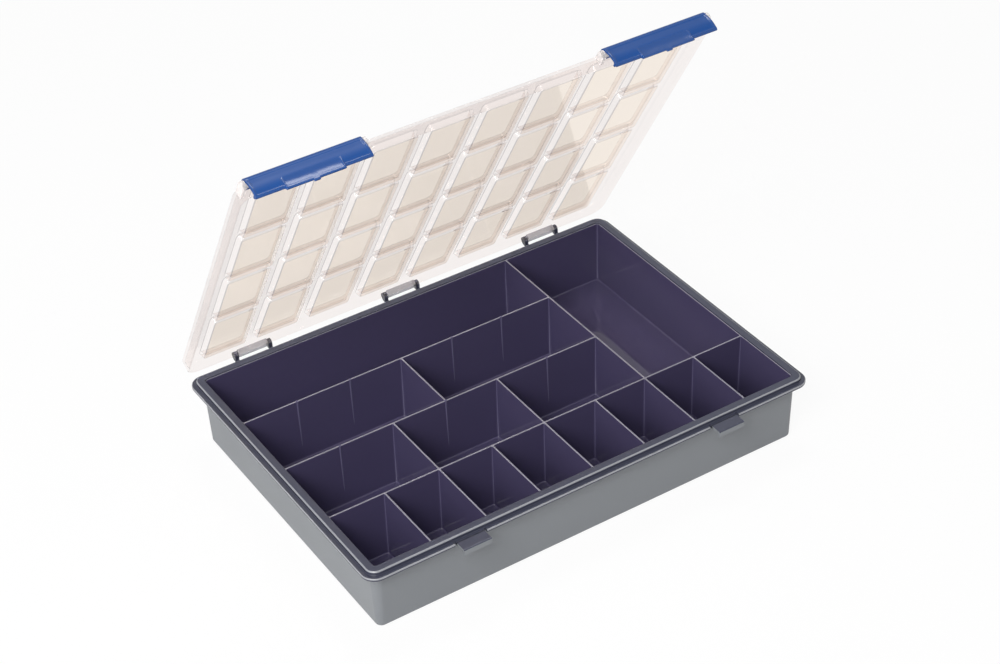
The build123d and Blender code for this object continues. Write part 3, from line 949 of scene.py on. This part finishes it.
def white_when_seen(tree, x, y):
    """Factor that is one for camera, mirror and see-through rays."""
    path = node(tree, "ShaderNodeLightPath", x, y)
    first = node(tree, "ShaderNodeMath", x + 200, y, operation="MAXIMUM")
    both = node(tree, "ShaderNodeMath", x + 400, y, operation="MAXIMUM")
    tree.links.new(path.outputs["Is Camera Ray"], first.inputs[0])
    tree.links.new(path.outputs["Is Glossy Ray"], first.inputs[1])
    tree.links.new(first.outputs[0], both.inputs[0])
    tree.links.new(path.outputs["Is Transmission Ray"], both.inputs[1])
    return both


def lay_floor(settings):
    """Plain pale floor that keeps the shadow of the box."""
    half = settings.floor_half
    mesh = bpy.data.meshes.new("floor")
    mesh.from_pydata([(-half, -half, 0), (half, -half, 0), (half, half, 0), (-half, half, 0)], [],
                     [(0, 1, 2, 3)])
    floor = bpy.data.objects.new("floor", mesh)
    bpy.context.scene.collection.objects.link(floor)
    material = bpy.data.materials.new("Pale floor")
    material.use_nodes = True
    tree = material.node_tree
    tree.nodes.clear()
    output = node(tree, "ShaderNodeOutputMaterial", 900, 0)
    paint = node(tree, "ShaderNodeBsdfDiffuse", 300, 150)
    paint.inputs["Color"].default_value = (0.9, 0.9, 0.9, 1)
    white = node(tree, "ShaderNodeEmission", 300, -50)
    mix = node(tree, "ShaderNodeMixShader", 650, 0)
    seen = white_when_seen(tree, -600, 200)
    part = node(tree, "ShaderNodeMath", 100, 300, operation="MULTIPLY")
    part.inputs[1].default_value = settings.whiteness
    tree.links.new(seen.outputs[0], part.inputs[0])
    tree.links.new(part.outputs[0], mix.inputs[0])
    tree.links.new(paint.outputs[0], mix.inputs[1])
    tree.links.new(white.outputs[0], mix.inputs[2])
    tree.links.new(mix.outputs[0], output.inputs[0])
    mesh.materials.append(material)


def light_world():
    """White surroundings at a plain level."""
    world = bpy.data.worlds.new("White studio")
    bpy.context.scene.world = world
    world.use_nodes = True
    tree = world.node_tree
    tree.nodes.clear()
    output = node(tree, "ShaderNodeOutputWorld", 900, 0)
    back = node(tree, "ShaderNodeBackground", 600, 0)
    level = node(tree, "ShaderNodeMapRange", 300, 0)
    level.inputs["To Min"].default_value = 0.27
    level.inputs["To Max"].default_value = 1.0
    seen = white_when_seen(tree, -500, 0)
    tree.links.new(seen.outputs[0], level.inputs["Value"])
    tree.links.new(level.outputs[0], back.inputs["Strength"])
    tree.links.new(back.outputs[0], output.inputs[0])


def hang_lamp(name, place, target, size, power):
    """Soft rectangular lamp that looks at a point."""
    data = bpy.data.lights.new(name, "AREA")
    data.shape = "RECTANGLE"
    data.size, data.size_y = size
    data.energy = power
    lamp = bpy.data.objects.new(name, data)
    aim = Vector(target) - Vector(place)
    lamp.matrix_world = Matrix.Translation(place) @ aim.to_track_quat("-Z", "Y").to_matrix().to_4x4()
    bpy.context.scene.collection.objects.link(lamp)


def set_camera():
    """Camera at the photograph's viewing angle."""
    data = bpy.data.cameras.new("camera")
    data.lens = 80.95
    data.sensor_width = 36
    data.sensor_fit = "HORIZONTAL"
    data.clip_end = 50
    camera = bpy.data.objects.new("camera", data)
    camera.location = (-0.61436, -1.00398, 0.96324)
    camera.rotation_euler = (radians(53.3404), radians(1.9601), radians(-33.0914))
    bpy.context.scene.collection.objects.link(camera)
    bpy.context.scene.camera = camera


class STORAGEBOX_OT_stage(bpy.types.Operator):
    """Set up the floor, the lamps, the white surroundings and the camera"""
    bl_idname = "storagebox.stage"
    bl_label = "Set the stage"

    def execute(self, context):
        lay_floor(context.scene.storage_stage)
        light_world()
        hang_lamp("main lamp", (-1.2, -1.0, 1.5), (0, 0, 0.05), (1.2, 1.0), 38)
        hang_lamp("side lamp", (-2.0, -0.4, 1.0), (0, 0, 0.05), (1.2, 1.0), 9)
        hang_lamp("back lamp", (0.45, 0.6, 1.8), (0, 0, 0.05), (0.9, 0.35), 8)
        set_camera()
        context.scene.view_settings.view_transform = "Standard"
        return {"FINISHED"}


class STORAGEBOX_PT_panel(bpy.types.Panel):
    """Lists the pieces of the storage box with their sizes and colours"""
    bl_label = "Storage box"
    bl_idname = "STORAGEBOX_PT_panel"
    bl_space_type = "VIEW_3D"
    bl_region_type = "UI"
    bl_category = "Storage box"

    def draw(self, context):
        for step, settings in GROUPS:
            box = self.layout.box()
            box.operator(step.bl_idname)
            held = getattr(context.scene, settings)
            for name in held.__annotations__:
                box.prop(held, name)


GROUPS = [
    (STORAGEBOX_OT_tray, "storage_tray"),
    (STORAGEBOX_OT_lid, "storage_lid"),
    (STORAGEBOX_OT_clips, "storage_clips"),
    (STORAGEBOX_OT_stage, "storage_stage"),
]
SETTINGS = {
    "storage_tray": TraySettings,
    "storage_lid": LidSettings,
    "storage_clips": ClipSettings,
    "storage_stage": StageSettings,
}
CLASSES = [*SETTINGS.values(), *[step for step, name in GROUPS], STORAGEBOX_PT_panel]


def register():
    for made in CLASSES:
        bpy.utils.register_class(made)
    for name, kind in SETTINGS.items():
        setattr(bpy.types.Scene, name, bpy.props.PointerProperty(type=kind))


def unregister():
    for name in SETTINGS:
        delattr(bpy.types.Scene, name)
    for made in reversed(CLASSES):
        bpy.utils.unregister_class(made)


def main():
    register()
    bpy.ops.storagebox.tray()
    bpy.ops.storagebox.lid()
    bpy.ops.storagebox.clips()
    bpy.ops.storagebox.stage()


if __name__ == "__main__":
    main()
